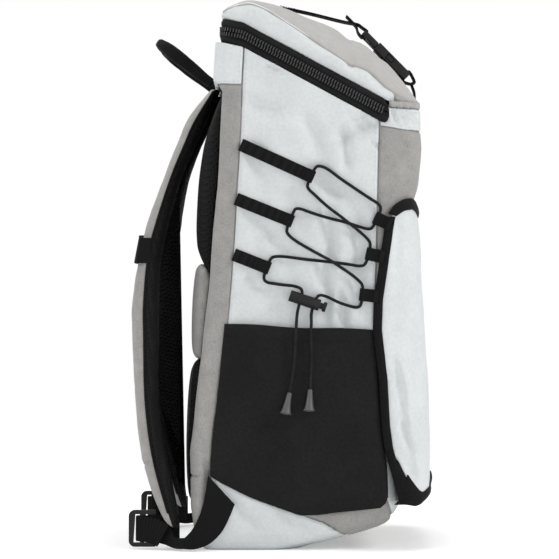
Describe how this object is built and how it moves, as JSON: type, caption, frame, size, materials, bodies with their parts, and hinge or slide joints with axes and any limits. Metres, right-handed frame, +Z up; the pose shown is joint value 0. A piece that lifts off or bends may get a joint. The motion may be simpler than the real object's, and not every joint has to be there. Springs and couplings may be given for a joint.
{
  "type": "ski backpack",
  "caption": "Tall ski backpack with a zipped hinged lid, laced sides, stretch side pockets, a front helmet flap and padded shoulder straps.",
  "frame": {"origin": "on the flat base, in the middle of the bag's width", "axes": "+Z up, -Y towards the front flap, +Y towards the wearer, -X towards the wearer's left"},
  "size_m": [0.3084, 0.3045, 0.547],
  "materials": {
    "white_shell": "matte",
    "grey_felt": "matte",
    "black_stretch": "matte",
    "black_mesh": "matte",
    "webbing": "matte",
    "zip_tape": "matte",
    "zip_coil": "satin",
    "zip_metal": "satin",
    "moulded_plastic": "satin",
    "elastic_cord": "matte",
    "hdpe": "matte",
    "foam": "matte",
    "stay_alloy": "satin",
    "spring_steel": "satin"
  },
  "bodies": {
    "pack": {"side_panel_left": "white_shell", "side_panel_right": "white_shell", "front_panel": "grey_felt", "front_yoke": "white_shell", "rear_yoke": "white_shell", "base_panel": "white_shell", "base_front": "grey_felt", "back_gussets": "grey_felt", "back_panel": "black_mesh", "frame_sheet": "hdpe", "frame_stays": "stay_alloy", "base_stiffener": "foam", "back_pad_upper": "black_mesh", "back_pad_middle": "grey_felt", "back_pad_lower": "black_mesh", "side_pocket_left": "black_stretch", "side_pocket_right": "black_stretch", "front_flap": "white_shell", "flap_binding": "webbing", "flap_tab": "webbing", "side_lace_straps": "webbing", "flap_lace_loops": "webbing", "lace_cord_left": "elastic_cord", "lace_cord_right": "elastic_cord", "cord_tails": "elastic_cord", "cord_ends": "moulded_plastic", "cord_lock_body_left": "moulded_plastic", "cord_lock_body_right": "moulded_plastic", "cord_lock_spring_left": "spring_steel", "cord_lock_spring_right": "spring_steel", "zip_tape_lower": "zip_tape", "zip_coil_lower": "zip_coil", "webbing_wings": "webbing", "lower_webbings": "webbing"},
    "lid": {"lid_gusset": "white_shell", "lid_top_panel": "grey_felt", "zip_tape_upper": "zip_tape", "zip_coil_upper": "zip_coil", "lid_strap": "webbing", "lid_buckle_male": "moulded_plastic", "lid_buckle_female": "moulded_plastic"},
    "lid_prong_left": {"lid_prong_left": "moulded_plastic"},
    "lid_prong_right": {"lid_prong_right": "moulded_plastic"},
    "zip_slider_front": {"zip_slider_front": "zip_metal"},
    "zip_slider_rear": {"zip_slider_rear": "zip_metal"},
    "zip_pull_front": {"zip_pull_front": "zip_metal"},
    "zip_pull_rear": {"zip_pull_rear": "zip_metal"},
    "cord_lock_button_left": {"cord_lock_button_left": "moulded_plastic"},
    "cord_lock_button_right": {"cord_lock_button_right": "moulded_plastic"},
    "harness": {"shoulder_straps": "grey_felt", "strap_linings": "black_mesh", "strap_end_tabs": "webbing", "sternum_strap": "webbing", "sternum_buckle_male": "moulded_plastic", "sternum_buckle_female": "moulded_plastic"},
    "sternum_prong_low": {"sternum_prong_low": "moulded_plastic"},
    "sternum_prong_high": {"sternum_prong_high": "moulded_plastic"},
    "ladder_lock_left": {"ladder_lock_left": "moulded_plastic"},
    "ladder_lock_right": {"ladder_lock_right": "moulded_plastic"},
    "grab_handle": {"grab_handle": "webbing"}
  },
  "joints": [
    {"name": "lid_hinge", "type": "hinge", "parent": "pack", "child": "lid", "pos_m": [0, -0.1364, 0.4387], "axis": [1, 0, 0], "range_deg": [0, 120]},
    {"name": "zip_slider_front_slide", "type": "slide", "parent": "pack", "child": "zip_slider_front", "axis": [0, -0.8805, -0.4741], "range_m": [0, 0.07]},
    {"name": "zip_slider_rear_slide", "type": "slide", "parent": "pack", "child": "zip_slider_rear", "axis": [0, 0.8805, 0.4741], "range_m": [0, 0.04]},
    {"name": "zip_pull_front_hinge", "type": "hinge", "parent": "zip_slider_front", "child": "zip_pull_front", "pos_m": [0.13995, -0.02496, 0.46954], "axis": [0, -0.4741, 0.8805], "range_deg": [0, 150]},
    {"name": "zip_pull_rear_hinge", "type": "hinge", "parent": "zip_slider_rear", "child": "zip_pull_rear", "pos_m": [0.13995, -0.00426, 0.48068], "axis": [0, -0.4741, 0.8805], "range_deg": [0, 150]},
    {"name": "cord_lock_button_left_slide", "type": "slide", "parent": "pack", "child": "cord_lock_button_left", "axis": [0, 0.9472, 0.3206], "range_m": [0, 0.003], "stiffness_N_per_m": 400, "springref_m": -0.003, "deforming": ["cord_lock_spring_left"]},
    {"name": "cord_lock_button_right_slide", "type": "slide", "parent": "pack", "child": "cord_lock_button_right", "axis": [0, 0.9472, 0.3206], "range_m": [0, 0.003], "stiffness_N_per_m": 400, "springref_m": -0.003, "deforming": ["cord_lock_spring_right"]},
    {"name": "lid_prong_left_hinge", "type": "hinge", "parent": "lid", "child": "lid_prong_left", "pos_m": [-0.0116, -0.09373, 0.50734], "axis": [0, -0.712, 0.7022], "range_deg": [0, 8], "stiffness_Nm_per_rad": 0.2, "springref_deg": -8.59},
    {"name": "lid_prong_right_hinge", "type": "hinge", "parent": "lid", "child": "lid_prong_right", "pos_m": [0.0116, -0.09373, 0.50734], "axis": [0, 0.712, -0.7022], "range_deg": [0, 8], "stiffness_Nm_per_rad": 0.2, "springref_deg": -8.59},
    {"name": "harness_hinge", "type": "hinge", "parent": "pack", "child": "harness", "pos_m": [0, 0.0682, 0.4548], "axis": [1, 0, 0], "range_deg": [0, 12]},
    {"name": "sternum_prong_low_hinge", "type": "hinge", "parent": "harness", "child": "sternum_prong_low", "pos_m": [-0.0075, 0.14237, 0.2819], "axis": [0, -1, 0], "range_deg": [0, 8], "stiffness_Nm_per_rad": 0.2, "springref_deg": -8.59},
    {"name": "sternum_prong_high_hinge", "type": "hinge", "parent": "harness", "child": "sternum_prong_high", "pos_m": [-0.0075, 0.14237, 0.3051], "axis": [0, 1, 0], "range_deg": [0, 8], "stiffness_Nm_per_rad": 0.2, "springref_deg": -8.59},
    {"name": "ladder_lock_left_hinge", "type": "hinge", "parent": "harness", "child": "ladder_lock_left", "pos_m": [-0.112, 0.1265, 0.0205], "axis": [0, 0, 1], "range_deg": [-20, 20]},
    {"name": "ladder_lock_right_hinge", "type": "hinge", "parent": "harness", "child": "ladder_lock_right", "pos_m": [0.112, 0.1265, 0.0205], "axis": [0, 0, 1], "range_deg": [-20, 20]},
    {"name": "grab_handle_hinge", "type": "hinge", "parent": "pack", "child": "grab_handle", "pos_m": [0, 0.071, 0.463], "axis": [1, 0, 0], "range_deg": [-45, 20], "stiffness_Nm_per_rad": 1}
  ]
}
